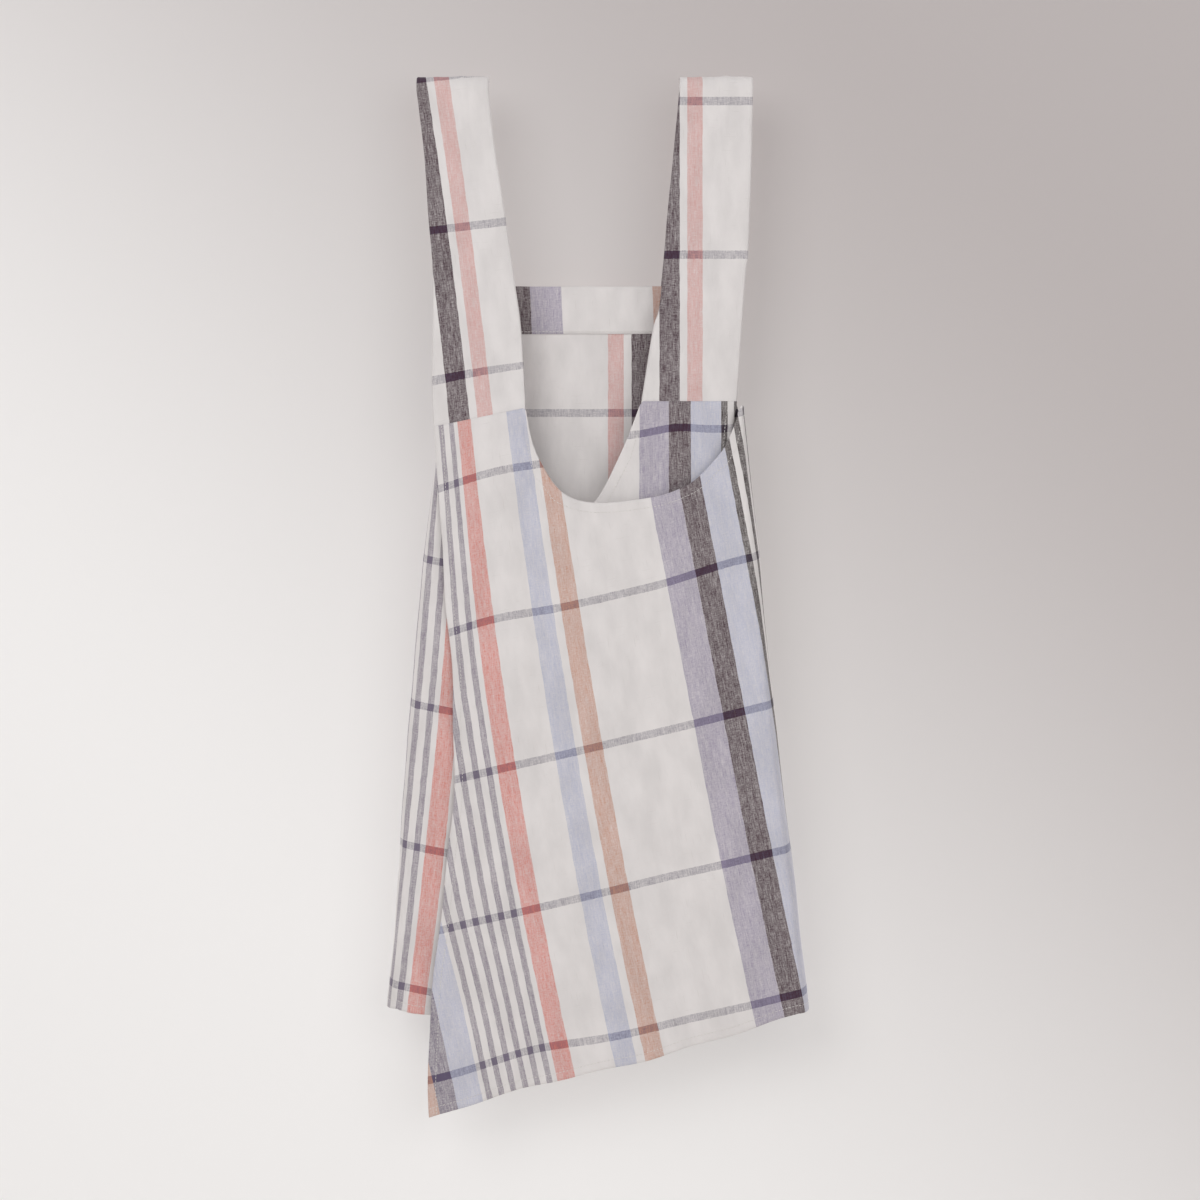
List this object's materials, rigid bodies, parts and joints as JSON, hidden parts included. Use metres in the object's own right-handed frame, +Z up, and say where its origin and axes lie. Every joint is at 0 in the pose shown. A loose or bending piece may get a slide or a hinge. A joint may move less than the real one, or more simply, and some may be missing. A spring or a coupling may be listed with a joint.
{
  "type": "cross-back wrap apron",
  "caption": "Sleeveless cross-back wrap apron in plaid linen with wide shoulder straps, hung flat by its straps, with an outer back wing that opens.",
  "frame": {"origin": "on the hanging line, midway between the two strap tops, on the underside of the cloth", "axes": "+Z up, +Y from the wrapped back towards the bib and front panel, +X to the right when looking at the wrapped back"},
  "size_m": [0.406, 0.044, 1.002],
  "materials": {
    "plaid_linen": "matte woven linen, off-white with a plaid of coral, tan, light blue, lilac and charcoal stripes"
  },
  "bodies": {
    "hung_body": {"front_panel": "plaid_linen", "right_side_fold": "plaid_linen", "left_side_fold": "plaid_linen", "outer_wing_root": "plaid_linen", "under_wing": "plaid_linen", "bib_band": "plaid_linen", "left_armhole_facing": "plaid_linen", "right_armhole_facing": "plaid_linen", "outer_scoop_facing_root": "plaid_linen", "under_scoop_facing": "plaid_linen", "left_strap_back": "plaid_linen", "right_strap_front": "plaid_linen", "right_strap_back": "plaid_linen"},
    "outer_wrap": {"outer_wing_flap": "plaid_linen", "left_strap_front": "plaid_linen", "outer_scoop_facing_flap": "plaid_linen"}
  },
  "joints": [
    {"name": "outer_wrap_open", "type": "hinge", "parent": "hung_body", "child": "outer_wrap", "pos_m": [-0.09, -0.021, 0], "axis": [-0.32, 0, 0.9474], "range_deg": [0, 45]}
  ]
}
